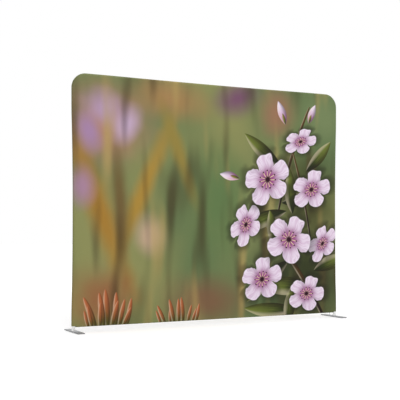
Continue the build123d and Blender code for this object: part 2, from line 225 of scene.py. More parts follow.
leg_folds = 13  # in a full turn round each leg's lower end
leg_fold_rise = 1.3
corner_folds = 30
corner_fold_rise = 0.45


def folds(u, v, seed):
    """How far the tension folds that fan out from the legs and the corners lift the cloth."""
    proud = np.zeros_like(u)
    for s in (-1, 1):
        beside, above = hem_half - s * u, v - ground_gap
        reach = np.hypot(beside, above)
        turn = np.arctan2(above, beside)
        fan = np.cos(leg_folds * turn + 2.1 * s + seed) * 0.5 + 0.5
        proud += leg_fold_rise * fan * np.clip(reach / 50, 0, 1) * np.exp(-((reach / 150) ** 2))
        beside, above = s * u - (pole_x - bend_radius), v - (top_z - bend_radius)
        reach = np.hypot(beside, above)
        turn = np.arctan2(above, beside)
        fan = np.cos(corner_folds * turn + 1.3 * s + seed) * 0.5 + 0.5
        band = np.exp(-(((reach - bend_radius) / 26) ** 2))
        proud += corner_fold_rise * fan * band * np.clip(np.sin(2 * turn), 0, 1)
    return proud


# %% Carry the flat cut over the frame
seam_depth = 0.35  # the cloth dips by this much where the sheets are sewn together
seam_start = 1.38  # in radians round the tube, just before the seam at a quarter turn
seam_span = 0.19


def over_frame(u, v, seed):
    """Places in millimetres of the flat points u across and v up, for the front sheet."""
    core_x = np.clip(u, bend_radius - pole_x, pole_x - bend_radius)
    core_z = np.minimum(v, top_z - bend_radius)
    reach = np.hypot(u - core_x, v - core_z)
    out_x = (u - core_x) / np.maximum(reach, 1e-6)
    out_z = (v - core_z) / np.maximum(reach, 1e-6)
    angle = np.clip((reach - bend_radius) / cloth_r, 0, pi / 2)
    proud = folds(u, v, seed) * np.cos(angle)
    seam_dip = seam_depth * np.clip((angle - seam_start) / seam_span, 0, 1) ** 2
    shell = cloth_r + proud - seam_dip
    out = np.where(angle > 0, bend_radius + shell * np.sin(angle), reach)
    x = core_x + out_x * out
    z = core_z + out_z * out
    y = -shell * np.cos(angle)
    # the lower edge turns under the rail by a quarter turn, then lies flat
    turned = (np.abs(u) <= hem_half + 0.01) & (v < hem_turn_z)
    bend = np.clip((hem_turn_z - v) / hem_turn, 0, pi / 2)
    past = np.maximum(hem_turn_z - v - turn_length, 0)
    z = np.where(turned, hem_turn_z - hem_turn * np.sin(bend), z)
    y = np.where(turned, y + hem_turn * (1 - np.cos(bend)) + past, y)
    # the frame's own bow and sag
    lean = pole_lean(z)
    x = x - np.sign(x) * lean * np.minimum(np.abs(x) / pole_x, 1)
    height = np.clip((z - hem_turn_z) / (top_z - hem_turn_z), 0, 1)
    z = z - rail_drop(x) * height
    return x, y, z


# %% Make a sheet
def make_sheet(name, facing, seed):
    """facing is -1 for the front sheet and 1 for the back one, which is the same cut turned half round."""
    deselect()
    bpy.ops.mesh.primitive_grid_add(x_subdivisions=len(columns) - 1, y_subdivisions=len(rows) - 1, size=1)
    sheet = new_piece(name)
    mesh = sheet.data
    at = np.empty(len(mesh.vertices) * 3)
    mesh.vertices.foreach_get("co", at)
    at = at.reshape(-1, 3)
    u = columns[np.rint((at[:, 0] + 0.5) * (len(columns) - 1)).astype(int)]
    v = rows[np.rint((at[:, 1] + 0.5) * (len(rows) - 1)).astype(int)]
    x, y, z = over_frame(u, v, seed)
    places = np.stack([-facing * x, -facing * y, z], 1) * MM
    mesh.vertices.foreach_set("co", places.ravel())

    cut = mesh.uv_layers.new(name="cut")
    corner_vertex = np.empty(len(mesh.loops), int)
    mesh.loops.foreach_get("vertex_index", corner_vertex)
    flat = np.stack([u, v], 1)[corner_vertex] * MM
    cut.uv.foreach_set("vector", flat.astype(np.float32).ravel())

    # the strip of hem that isn't there round the legs, where the edge runs higher
    bpy.ops.object.mode_set(mode="EDIT")
    bpy.ops.mesh.select_mode(type="FACE")
    bpy.ops.mesh.select_all(action="DESELECT")
    bpy.ops.object.mode_set(mode="OBJECT")
    for face in mesh.polygons:
        across = abs(np.mean([u[i] for i in face.vertices]))
        up = np.mean([v[i] for i in face.vertices])
        face.select = bool(across > hem_half and up < leg_edge_z)
    bpy.ops.object.mode_set(mode="EDIT")
    bpy.ops.mesh.delete(type="FACE")
    bpy.ops.object.mode_set(mode="OBJECT")
    return sheet


def finish_sheet(sheet):
    """Gives the sheet the cloth's thickness, with the unprinted side of the knit inside."""
    thickness = sheet.modifiers.new("thickness", "SOLIDIFY")
    thickness.thickness = fabric_t * MM
    thickness.offset = 0
    thickness.material_offset = 1
    apply_all(sheet)
    bpy.ops.object.shade_smooth_by_angle(angle=radians(50))


sleeve = {}
for face, facing, seed in (("front", -1, 0.0), ("back", 1, 1.7)):
    sheet = make_sheet(f"printed_{face}", facing, seed)
    finish_sheet(sheet)
    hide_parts(f"sleeve_{face}")
    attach(sheet, "frame")
    sleeve[face] = sheet
    print(sheet.name, len(sheet.data.polygons), "faces")

# %% [markdown]
# ## The zip's tapes and coils
# A nylon zip closes the slot under the bottom rail. Its tapes are narrow woven strips, sewn to the turned
# hems. Along the inner edge of each runs a coil: one stiff thread wound round and round, flattened, whose
# loops catch those of the other side. A Screw modifier winds a small ring of points into such a thread.

# %% Zip tapes
def make_tape(name, node):
    """A strip as large as the construction model's, with its long edges rolled by a bevel."""
    low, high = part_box(node)
    middle_place = [(a + b) / 2 for a, b in zip(low, high)]
    deselect()
    bpy.ops.mesh.primitive_cube_add(size=1, location=middle_place, scale=[b - a for a, b in zip(low, high)])
    tape = new_piece(name)
    bpy.ops.object.transform_apply(location=True, rotation=True, scale=True)
    edges = tape.modifiers.new("rolled edges", "BEVEL")
    edges.width = 0.2 * MM
    edges.segments = 3
    apply_all(tape)
    bpy.ops.object.shade_smooth_by_angle(angle=radians(40))
    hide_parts(node)
    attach(tape, "frame")
    return tape


# %% Zip coils
thread_r = 0.28  # the nylon thread
coil_pitch = 2.5  # real coils have about 1.3 mm; every second loop is left out


def make_coil(name, node, start_turn):
    """A ring of points, set off from the coil's axis, wound along it and flattened to the coil's height."""
    low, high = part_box(node)
    length = (high[0] - low[0]) / MM
    turns = int(length / coil_pitch) - 1
    wide = (high[1] - low[1]) / MM / 2 - thread_r
    tall = (high[2] - low[2]) / MM / 2 - thread_r
    deselect()
    bpy.ops.mesh.primitive_circle_add(vertices=5, radius=thread_r * MM, location=(0, wide * MM, 0))
    coil = new_piece(name)
    bpy.ops.object.transform_apply(location=True, rotation=True, scale=True)
    winding = coil.modifiers.new("winding", "SCREW")
    winding.axis = "X"
    winding.angle = 2 * pi
    winding.screw_offset = coil_pitch * MM
    winding.iterations = turns
    winding.steps = winding.render_steps = 8
    winding.use_smooth_shade = True
    winding.use_merge_vertices = False
    apply_all(coil)
    at = np.empty(len(coil.data.vertices) * 3)
    coil.data.vertices.foreach_get("co", at)
    at = at.reshape(-1, 3)
    at[:, 2] *= tall / wide
    start_x = low[0] + start_turn * coil_pitch * MM + thread_r * MM
    at += [start_x, (low[1] + high[1]) / 2, (low[2] + high[2]) / 2]
    coil.data.vertices.foreach_set("co", at.ravel())
    bpy.ops.object.mode_set(mode="EDIT")
    bpy.ops.mesh.select_all(action="SELECT")
    bpy.ops.mesh.normals_make_consistent(inside=False)
    bpy.ops.mesh.select_mode(type="EDGE")
    bpy.ops.mesh.select_all(action="DESELECT")
    bpy.ops.mesh.select_non_manifold(extend=False)
    bpy.ops.mesh.edge_face_add()
    bpy.ops.object.mode_set(mode="OBJECT")
    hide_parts(node)
    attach(coil, "frame")
    print(name, turns, "turns,", len(coil.data.polygons), "faces")
    return coil


# %% Make the zip's soft pieces
tapes = {face: make_tape(f"tape_{face}", f"zip_tape_{face}") for face in sleeve}
coils = {face: make_coil(f"coil_{face}", f"zip_coil_{face}", 0.5 * i) for i, face in enumerate(sleeve)}

# %% [markdown]
# ## The V springs
# Behind each snap button lies a V of spring steel. When the button is pressed, the V closes: its lower
# leg stays where it is and the upper one gives way. A rigid strip would cut through the button. Here
# each strip is copied, and its long faces are cut across at even steps.

# %% V springs
leg_clear = 1.0  # mm of each leg, next to the tube and to the button
bend_cuts = 9


def make_spring(joint):
    node, button = f"{joint}_spring", f"{joint}_button"
    low, high = (np.array(corner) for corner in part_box(node))
    button_low, button_high = (np.array(corner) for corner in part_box(button))
    toward = (button_low + button_high) / 2 - (low + high) / 2
    along = int(np.argmax((high - low) * (1, 0, 1)))  # the strip's length runs along X or Z
    across = 2 - along
    select_only(frame["nodes"][node])
    bpy.ops.object.duplicate()
    bpy.ops.object.parent_clear(type="CLEAR_KEEP_TRANSFORM")
    strip = new_piece(f"{joint}_spring_strip")
    bpy.ops.object.mode_set(mode="EDIT")
    bpy.ops.mesh.select_all(action="SELECT")
    bpy.ops.mesh.remove_doubles(threshold=0.002 * MM)
    normal = [0.0, 0.0, 0.0]
    normal[along] = 1.0
    for place in np.linspace(low[along], high[along], bend_cuts + 2)[1:-1]:
        cut_place = [0.0, 0.0, 0.0]
        cut_place[along] = float(place)
        bpy.ops.mesh.select_all(action="SELECT")
        bpy.ops.mesh.bisect(plane_co=cut_place, plane_no=normal)
    bpy.ops.object.mode_set(mode="OBJECT")
    bpy.ops.object.shade_smooth_by_angle(angle=radians(30))
    start, end = (low + high) / 2, (low + high) / 2
    start[across], end[across] = low[across] + leg_clear * MM, high[across] - leg_clear * MM
    if toward[across] < 0:
        start, end = end, start
    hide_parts(node)
    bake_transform(strip)
    return strip


joint_names = [node.removesuffix("_button") for node in frame["nodes"] if node.endswith("_button")]
springs = {joint: make_spring(joint) for joint in joint_names}
print(len(springs), "springs of", len(springs["top_centre"].data.polygons), "faces")

# %% [markdown]
# ## Stitches
# Two rows of lockstitch hold each tape to its hem, and they show on the underside. One stitch is a short
# rounded bar of thread, pulled into the cloth at both ends. It is modelled once and copied along the row
# by an Array modifier.

# %% Hem stitches
stitch_length = 3.0
stitch_gap = 0.6
thread_d = 0.4
stitch_pull = thread_d * 0.3  # how far its ends are pulled into the cloth
row_inset = 4.0  # the rows stop this far inside the hem's ends
stitch_rows = (7.0, 10.2)  # how far the rows lie from the zip's middle
stitch_z = ground_gap - 0.05


def make_stitches(name, rows_y, z):
    """Rows of stitches along X on the underside of the hem."""
    count = int(2 * (hem_half - row_inset) / (stitch_length + stitch_gap))
    first_x = -hem_half + row_inset + stitch_length / 2
    made = []
    for y in rows_y:
        deselect()
        bpy.ops.mesh.primitive_cylinder_add(
            vertices=6, radius=thread_d / 2 * MM, depth=stitch_length * MM, end_fill_type="TRIFAN",
            location=(first_x * MM, y * MM, z * MM), rotation=(0, pi / 2, 0),
        )
        stitch = new_piece(name)
        bpy.ops.object.transform_apply(location=True, rotation=True, scale=True)
        for vertex in stitch.data.vertices:
            from_middle = abs(vertex.co.x / MM + hem_half - row_inset - stitch_length / 2)
            vertex.co.z += stitch_pull * MM * (from_middle / (stitch_length / 2)) ** 2
        repeat = stitch.modifiers.new("row", "ARRAY")
        repeat.count = count
        repeat.use_relative_offset = False
        repeat.use_constant_offset = True
        repeat.constant_offset_displace = ((stitch_length + stitch_gap) * MM, 0, 0)
        apply_all(stitch)
        made.append(stitch)
    deselect()
    for stitch in made:
        stitch.select_set(True)
    bpy.context.view_layer.objects.active = made[0]
    bpy.ops.object.join()
    bpy.ops.object.shade_smooth_by_angle(angle=radians(60))
    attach(made[0], "frame")
    return made[0]


stitches = {}
for face, s in (("front", -1), ("back", 1)):
    stitches[face] = make_stitches(f"stitches_{face}", [s * y for y in stitch_rows], stitch_z)

knit_stretch = 1.03  # the sleeve is cut 3 % small each way, so that the frame holds it tight
corner_r = bend_radius + wrap_length
cut_area = 2 * cut_half * (cut_top - leg_edge_z) + 2 * hem_half * (leg_edge_z - cut_low)
cut_area -= 2 * corner_r**2 * (1 - pi / 4)
cut_size = [round(side / knit_stretch) for side in (2 * cut_half, cut_top - cut_low)]
print("each sheet was cut", cut_size[0], "by", cut_size[1], "mm")

# %% [markdown]
# ## Finishes
# Each finish is built from small nodes. One function turns a colour as a designer writes it into the
# linear values that the renderer wants, and one adds a node with its settings and links.

# %% Colour and node helpers
def srgb(code):
    """Linear red, green, blue and alpha of a hex colour such as #c0ffee."""
    parts = [int(code[i:i + 2], 16) / 255 for i in (1, 3, 5)]
    return (*[p / 12.92 if p <= 0.04045 else ((p + 0.055) / 1.055) ** 2.4 for p in parts], 1.0)


def add_node(tree, kind, inputs=None, out=0, **settings):
    """Adds a node and returns one of its outputs. An input is a value, or an output to link from."""
    node = tree.nodes.new("ShaderNode" + kind)
    for key, value in settings.items():
        setattr(node, key, value)
    for key, value in (inputs or {}).items():
        if isinstance(value, bpy.types.NodeSocket):
            tree.links.new(value, node.inputs[key])
        else:
            node.inputs[key].default_value = value
    return node.outputs[out]


def new_finish(name, **constants):
    """A material with a Principled shader, whose even values are set on its own sockets."""
    finish = bpy.data.materials.new(name)
    finish.use_nodes = True
    shader = finish.node_tree.nodes["Principled BSDF"]
    for key, value in constants.items():
        shader.inputs[key.replace("_", " ")].default_value = value
    return finish, finish.node_tree, shader


def into(tree, shader, **links):
    for key, output in links.items():
        tree.links.new(output, shader.inputs[key.replace("_", " ")])


def wear(finish, *nodes):
    """Gives a finish to construction nodes or to new pieces."""
    for node in nodes:
        piece = frame["nodes"][node] if isinstance(node, str) else node
        piece.data.materials.clear()
        piece.data.materials.append(finish)


# mix colours: inputs 0 is the factor, 6 and 7 the colours, and output 2 the result
COLOUR = dict(data_type="RGBA", out=2)
# map a range with a soft start and end, from inputs 1 and 2 to 3 and 4, which are 0 and 1 unless given
SMOOTH = dict(interpolation_type="SMOOTHSTEP")

# %% [markdown]
# ### The print
# The sleeve is printed by dye sublimation, so the picture sits in the yarn and stays matt. The picture is
# a generic one of open five-petalled blossoms on a branch, in front of a garden out of focus. It is drawn
# in the flat cut's own metres. Two motifs are drawn once as node groups, a blossom and a leaf, and each
# copy only gets another place, turn and size. Every copy takes the colour below it and paints over it,
# like layers of ink.

# %% Start a node group
def new_group(name, entries):
    """A node group that gives a colour. Each entry has a label, a kind and its usual value."""
    group = bpy.data.node_groups.new(name, "ShaderNodeTree")
    for label, kind, value in entries:
        socket = group.interface.new_socket(label, in_out="INPUT", socket_type="NodeSocket" + kind)
        socket.default_value = value
    group.interface.new_socket("Colour", in_out="OUTPUT", socket_type="NodeSocketColor")
    return group, group.nodes.new("NodeGroupInput").outputs, group.nodes.new("NodeGroupOutput")


# %% The blossom
def blossom_motif():
    """A flower seen from above: five petals with veins, stamens and a dark heart. Its radius is 1."""
    tree, entry, result = new_group("blossom", [
        ("Place", "Vector", (0, 0, 0)), ("Below", "Color", srgb("#78875a")),
    ])
    petal_half = pi / 5  # half the angle that one petal takes
    stamen_half = pi / 11
    stamen_length = 0.33
    x = add_node(tree, "SeparateXYZ", {0: entry["Place"]})
    y = x.node.outputs[1]
    reach = add_node(tree, "VectorMath", {0: entry["Place"]}, out=1, operation="LENGTH")
    uneven = add_node(tree, "TexNoise", {"Vector": entry["Place"], "Scale": 2.3, "Detail": 1.0})
    turn = add_node(tree, "Math", {0: y, 1: x}, operation="ARCTAN2")
    turn = add_node(tree, "Math", {0: uneven, 1: 0.55, 2: turn}, operation="MULTIPLY_ADD")
    across = add_node(tree, "Math", {0: turn, 1: petal_half, 2: -petal_half}, operation="WRAP")
    share = add_node(tree, "Math", {0: across, 1: 0.0}, operation="ABSOLUTE")
    share = add_node(tree, "Math", {0: share, 1: 1 / petal_half}, operation="MULTIPLY")
    dip = add_node(tree, "Math", {0: share, 1: 3.4}, operation="POWER")
    rim = add_node(tree, "Math", {0: dip, 1: -0.46, 2: 0.98}, operation="MULTIPLY_ADD")
    rim = add_node(tree, "Math", {0: uneven, 1: 0.22, 2: rim}, operation="MULTIPLY_ADD")
    rim = add_node(tree, "Math", {0: rim, 1: 0.11}, operation="SUBTRACT")
    inside = add_node(tree, "Math", {0: rim, 1: reach}, operation="SUBTRACT")
    petals = add_node(tree, "MapRange", {0: inside, 1: 0.0, 2: 0.03}, **SMOOTH)

    shadow = add_node(tree, "MapRange", {0: inside, 1: -0.42, 2: 0.02, 4: 0.62}, **SMOOTH)
    ground = add_node(tree, "Mix", {0: shadow, 6: entry["Below"], 7: srgb("#1c1a12")}, **COLOUR)

    streak_place = add_node(tree, "CombineXYZ", {0: across, 1: reach})
    streak_place = add_node(tree, "Mapping", {0: streak_place, 3: (15.0, 1.6, 1.0)})
    streaks = add_node(tree, "TexNoise", {"Vector": streak_place, "Scale": 1.0, "Detail": 3.0})
    pale = add_node(tree, "MapRange", {0: reach, 1: 0.12, 2: 0.70}, **SMOOTH)
    pale = add_node(tree, "Math", {0: streaks, 1: 1.1, 2: pale}, operation="MULTIPLY_ADD")
    pale = add_node(tree, "Math", {0: pale, 1: 0.66}, operation="SUBTRACT", use_clamp=True)
    petal = add_node(tree, "Mix", {0: pale, 6: srgb("#9a4f86"), 7: srgb("#f1e2f3")}, **COLOUR)
    lap = add_node(tree, "MapRange", {0: across, 1: -0.63, 2: -0.18, 3: 0.62, 4: 0.0}, **SMOOTH)
    lap = add_node(tree, "Math", {0: lap, 1: reach}, operation="MULTIPLY")
    petal = add_node(tree, "Mix", {0: lap, 6: petal, 7: srgb("#74386f")}, **COLOUR)
    crease = add_node(tree, "MapRange", {0: share, 1: 0.0, 2: 0.16, 3: 0.30, 4: 0.0}, **SMOOTH)
    petal = add_node(tree, "Mix", {0: crease, 6: petal, 7: srgb("#b779ae")}, **COLOUR)
    edge = add_node(tree, "MapRange", {0: inside, 1: 0.0, 2: 0.10, 3: 0.45, 4: 0.0})
    petal = add_node(tree, "Mix", {0: edge, 6: petal, 7: srgb("#f6edf6")}, **COLOUR)
    flower = add_node(tree, "Mix", {0: petals, 6: ground, 7: petal}, **COLOUR)

    spoke = add_node(tree, "Math", {0: turn, 1: stamen_half, 2: -stamen_half}, operation="WRAP")
    aside = add_node(tree, "Math", {0: spoke, 1: reach}, operation="MULTIPLY")
    aside = add_node(tree, "Math", {0: aside, 1: 0.0}, operation="ABSOLUTE")
    thread = add_node(tree, "MapRange", {0: aside, 1: 0.006, 2: 0.016, 3: 1.0, 4: 0.0})
    short = add_node(tree, "Math", {0: reach, 1: stamen_length}, operation="LESS_THAN")
    thread = add_node(tree, "Math", {0: thread, 1: short}, operation="MULTIPLY")
    flower = add_node(tree, "Mix", {0: thread, 6: flower, 7: srgb("#f0dca8")}, **COLOUR)
    along = add_node(tree, "Math", {0: reach, 1: stamen_length + 0.005}, operation="SUBTRACT")
    dot_place = add_node(tree, "CombineXYZ", {0: aside, 1: along})
    dot = add_node(tree, "VectorMath", {0: dot_place}, out=1, operation="LENGTH")
    dot = add_node(tree, "MapRange", {0: dot, 1: 0.022, 2: 0.040, 3: 1.0, 4: 0.0})
    flower = add_node(tree, "Mix", {0: dot, 6: flower, 7: srgb("#3a1022")}, **COLOUR)
    heart = add_node(tree, "MapRange", {0: reach, 1: 0.07, 2: 0.17, 3: 1.0, 4: 0.0}, **SMOOTH)
    flower = add_node(tree, "Mix", {0: heart, 6: flower, 7: srgb("#2d0a1e")}, **COLOUR)
    tree.links.new(flower, result.inputs["Colour"])
    return tree


# %% The leaf, which also serves as stem, bud and needle
def leaf_motif():
    """A blade along X from 0 to 1, bent aside and shaded round. A low Blunt keeps its width nearly even."""
    tree, entry, result = new_group("leaf", [
        ("Place", "Vector", (0, 0, 0)), ("Below", "Color", srgb("#78875a")), ("Soft", "Float", 0.01),
        ("Base", "Color", srgb("#32230f")), ("Tip", "Color", srgb("#8a7a3a")), ("Width", "Float", 0.1),
        ("Bend", "Float", 0.0), ("Blunt", "Float", 0.8),
    ])
    x = add_node(tree, "SeparateXYZ", {0: entry["Place"]})
    y = x.node.outputs[1]
    inside_length = add_node(tree, "Math", {0: x, 1: 1.0}, operation="MULTIPLY", use_clamp=True)
    square = add_node(tree, "Math", {0: inside_length, 1: 2.0}, operation="POWER")
    bent = add_node(tree, "Math", {0: square, 1: entry["Bend"]}, operation="MULTIPLY")
    aside = add_node(tree, "Math", {0: y, 1: bent}, operation="SUBTRACT")
    swell = add_node(tree, "Math", {0: inside_length, 1: pi}, operation="MULTIPLY")
    swell = add_node(tree, "Math", {0: swell, 1: 0.0}, operation="SINE")
    swell = add_node(tree, "Math", {0: swell, 1: entry["Blunt"]}, operation="POWER")
    half = add_node(tree, "Math", {0: swell, 1: entry["Width"]}, operation="MULTIPLY")
    off = add_node(tree, "Math", {0: aside, 1: 0.0}, operation="ABSOLUTE")
    inside = add_node(tree, "Math", {0: half, 1: off}, operation="SUBTRACT")
    blade = add_node(tree, "MapRange", {0: inside, 1: 0.0, 2: entry["Soft"]}, **SMOOTH)

    streak_place = add_node(tree, "CombineXYZ", {0: x, 1: aside})
    streak_place = add_node(tree, "Mapping", {0: streak_place, 3: (3.0, 60.0, 1.0)})
    streaks = add_node(tree, "TexNoise", {"Vector": streak_place, "Scale": 1.0, "Detail": 2.0})
    tipward = add_node(tree, "Math", {0: streaks, 1: 0.6, 2: x}, operation="MULTIPLY_ADD")
    tipward = add_node(tree, "MapRange", {0: tipward, 1: 0.40, 2: 1.15}, **SMOOTH)
    colour = add_node(tree, "Mix", {0: tipward, 6: entry["Base"], 7: entry["Tip"]}, **COLOUR)
    side = add_node(tree, "Math", {0: aside, 1: half}, operation="DIVIDE")
    dark = add_node(tree, "MapRange", {0: side, 1: -1.0, 2: 0.25, 3: 0.72, 4: 0.0}, **SMOOTH)
    colour = add_node(tree, "Mix", {0: dark, 6: colour, 7: srgb("#241910")}, **COLOUR)
    light = add_node(tree, "MapRange", {0: side, 1: 0.15, 2: 0.75, 4: 0.34}, **SMOOTH)
    colour = add_node(tree, "Mix", {0: light, 6: colour, 7: srgb("#f3e3c4")}, **COLOUR)
    leaf = add_node(tree, "Mix", {0: blade, 6: entry["Below"], 7: colour}, **COLOUR)
    tree.links.new(leaf, result.inputs["Colour"])
    return tree


# %% Where the motifs lie on the flat cut, in metres
# soft patches: place, half width, half height, turn in degrees, colour
hazes = [
    ((0.05, 1.00), 0.42, 0.75, 0, "#5b7648"), ((-0.98, 1.62), 0.55, 0.46, 10, "#b5846c"),
    ((-0.42, 1.86), 0.50, 0.24, -12, "#a67f52"), ((-1.02, 0.92), 0.17, 1.05, 22, "#a5772a"),
    ((-0.66, 1.10), 0.12, 0.95, -24, "#ac8534"), ((-0.34, 1.42), 0.10, 0.62, 20, "#94803c"),
    ((-0.86, 0.98), 0.10, 0.80, 4, "#6b5430"), ((-0.60, 0.74), 0.20, 0.24, 0, "#c4a68c"),
    ((-0.10, 0.20), 0.60, 0.30, 0, "#7c5a42"), ((-1.02, 0.26), 0.44, 0.36, 8, "#93603e"),
    ((0.92, 0.34), 0.78, 0.74, -20, "#26280f"), ((0.98, 1.08), 0.50, 0.66, 8, "#3a3f1d"),
    ((1.12, 1.78), 0.36, 0.36, 12, "#76855a"), ((0.22, 1.90), 0.30, 0.22, 20, "#74456a"),
    ((0.62, 1.80), 0.26, 0.30, -10, "#9c6f58"), ((-0.98, 1.74), 0.26, 0.20, -15, "#b497b8"),
    ((-1.12, 1.56), 0.14, 0.24, 20, "#a583ab"), ((-0.80, 1.62), 0.16, 0.22, -30, "#c3a9c6"),
    ((-1.18, 1.12), 0.16, 0.22, 0, "#a9839f"),
]
# blossoms: place, radius, turn in degrees, how far it is seen from the side
near_blossoms = [
    ((0.92, 0.22), 0.20, 12, 0.80), ((1.10, 0.66), 0.19, 50, 0.70), ((0.46, 0.36), 0.22, 33, 0.85),
    ((0.30, 0.83), 0.20, 64, 0.72), ((0.98, 1.14), 0.22, 25, 0.78), ((0.74, 0.70), 0.24, 5, 0.92),
    ((0.52, 1.22), 0.25, 47, 0.88), ((0.86, 1.56), 0.18, 18, 0.62),
]
# leaves: place of the root, length, direction in degrees, width, bend
branch = [
    ((1.16, -0.10), 1.30, 118, 0.020, 0.14), ((0.62, 0.90), 1.02, 78, 0.018, -0.12),
    ((0.98, 0.62), 0.92, 98, 0.015, 0.10),
]
leaves = [
    ((0.98, 0.26), 0.56, 170, 0.15, 0.10), ((1.00, 0.42), 0.40, 24, 0.17, -0.12),
    ((0.72, 0.95), 0.54, 194, 0.13, 0.12), ((0.66, 1.02), 0.48, 6, 0.14, 0.15),
    ((0.66, 1.34), 0.46, 150, 0.14, -0.10), ((0.74, 0.52), 0.56, 214, 0.13, 0.08),
    ((0.92, 1.30), 0.38, 40, 0.15, 0.10), ((0.80, 0.10), 0.52, 186, 0.13, -0.14),
    ((0.60, 0.60), 0.36, 96, 0.17, 0.06), ((0.78, 0.92), 0.40, 100, 0.16, -0.10),
    ((0.70, -0.06), 0.36, 74, 0.17, 0.10),
]
buds = [
    ((0.70, 1.70), 0.22, 108, 0.20, 0.05), ((0.94, 1.72), 0.19, 70, 0.20, -0.06),
    ((0.24, 1.22), 0.20, 165, 0.20, 0.08),
]
# tufts of needles: place of the root, length, how many
tufts = [((-0.96, 0.0), 0.34, 11), ((-0.34, 0.0), 0.25, 9)]


# %% Paint the print
def paint(tree, cut):
    """The print's colour on the flat cut's map, painted from the far things to the near ones."""
    blossom = blossom_motif()
    leaf = leaf_motif()
    soft_noise = add_node(tree, "TexNoise", {"Vector": cut, "Scale": 0.9, "Detail": 1.5})
    shade = add_node(tree, "MapRange", {0: soft_noise, 1: 0.35, 2: 0.65}, **SMOOTH)
    colour = add_node(tree, "Mix", {0: shade, 6: srgb("#62754c"), 7: srgb("#8b8c58")}, **COLOUR)

    def after(colour):
        """The cut's map, made to wait for the layer below by a share of its colour too small to move it. The
        renderer then works the layers one by one, because it has room for few values at a time."""
        return add_node(tree, "VectorMath", {0: colour, 1: (1e-7, 1e-7, 0), 2: cut}, operation="MULTIPLY_ADD")

    swirl = add_node(tree, "TexNoise", {"Vector": cut, "Scale": 3.0, "Detail": 2.0})
    for (u, v), wide, high, turn, code in hazes:
        place = add_node(tree, "Mapping", {0: after(colour), 1: (u, v, 0), 2: (0, 0, radians(turn)),
                                           3: (wide, high, 1)}, vector_type="TEXTURE")
        spread = add_node(tree, "VectorMath", {0: place}, out=1, operation="LENGTH")
        spread = add_node(tree, "Math", {0: swirl, 1: 0.5, 2: spread}, operation="MULTIPLY_ADD")
        patch = add_node(tree, "MapRange", {0: spread, 1: 1.25, 2: 0.3, 4: 0.9}, **SMOOTH)
        colour = add_node(tree, "Mix", {0: patch, 6: colour, 7: srgb(code)}, **COLOUR)
    for turn, low, high, code in ((-24, 0.54, 0.82, "#b39a5e"), (18, 0.48, 0.74, "#3d2f1b")):
        drawn_out = add_node(tree, "Mapping", {0: after(colour), 2: (0, 0, radians(turn)), 3: (5.5, 0.9, 1)})
        streak = add_node(tree, "TexNoise", {"Vector": drawn_out, "Scale": 1.0, "Detail": 1.0})
        streak = add_node(tree, "MapRange", {0: streak, 1: low, 2: high, 4: 0.75}, **SMOOTH)
        colour = add_node(tree, "Mix", {0: streak, 6: colour, 7: srgb(code)}, **COLOUR)

    def flower(colour, place, size, turn, tilt):
        at = add_node(tree, "Mapping", {0: after(colour), 1: (*place, 0), 2: (0, 0, radians(turn)),
                                        3: (size, size * tilt, 1)}, vector_type="TEXTURE")
        return add_node(tree, "Group", {"Place": at, "Below": colour}, node_tree=blossom)

    def blade(colour, root, length, turn, **look):
        at = add_node(tree, "Mapping", {0: after(colour), 1: (*root, 0), 2: (0, 0, radians(turn)),
                                        3: (length, length, 1)}, vector_type="TEXTURE")
        return add_node(tree, "Group", {"Place": at, "Below": colour, **look}, node_tree=leaf)

    for root, length, turn, width, bend in branch:
        colour = blade(colour, root, length, turn, Width=width, Bend=bend, Blunt=0.2, Soft=0.006,
                       Base=srgb("#1f150a"), Tip=srgb("#58401f"))
    for root, length, turn, width, bend in leaves:
        colour = blade(colour, root, length, turn, Width=width, Bend=bend, Soft=0.012,
                       Base=srgb("#1f290f"), Tip=srgb("#6d7833"))
    for root, length, turn, width, bend in buds:
        colour = blade(colour, root, length, turn, Width=width, Bend=bend, Soft=0.03,
                       Base=srgb("#c077ae"), Tip=srgb("#efdff0"))
        colour = blade(colour, root, length * 0.5, turn, Width=width * 0.8, Soft=0.04,
                       Base=srgb("#4d5a24"), Tip=srgb("#8a7a3a"))
    for place, size, turn, tilt in near_blossoms:
        colour = flower(colour, place, size, turn, tilt)
    for (u, v), length, count in tufts:
        for i in range(count):
            fan = (i * 5 % count) / (count - 1) - 0.5
            uneven = sin(5.1 * i + 9 * u)
            colour = blade(colour, (u + 0.30 * fan, v), length * (0.90 - 0.6 * abs(fan) + 0.14 * uneven),
                           90 - 44 * fan + 6 * uneven, Width=0.10, Bend=0.07 * uneven, Soft=0.03,
                           Blunt=0.45, Base=srgb("#4a4a1c"), Tip=srgb("#b8683e"))
    return colour


# %% [markdown]
# ### Printed stretch knit
# Polyester warp knit of about 250 g per square metre: a matt, faintly soft surface of fine upright ribs,
# one every 0.9 mm. Ribs that fine would only flicker in a picture of the whole panel, so they are drawn 3
# mm apart and shallow.

# %% Printed knit and its unprinted side
rib_pitch = 3.0
rib_scale = 1 / (pi * rib_pitch * MM)  # a wave of this scale has its bands about a rib pitch apart
knit_look = dict(Sheen_Weight=0.04, Sheen_Roughness=0.4, Specular_IOR_Level=0.2)


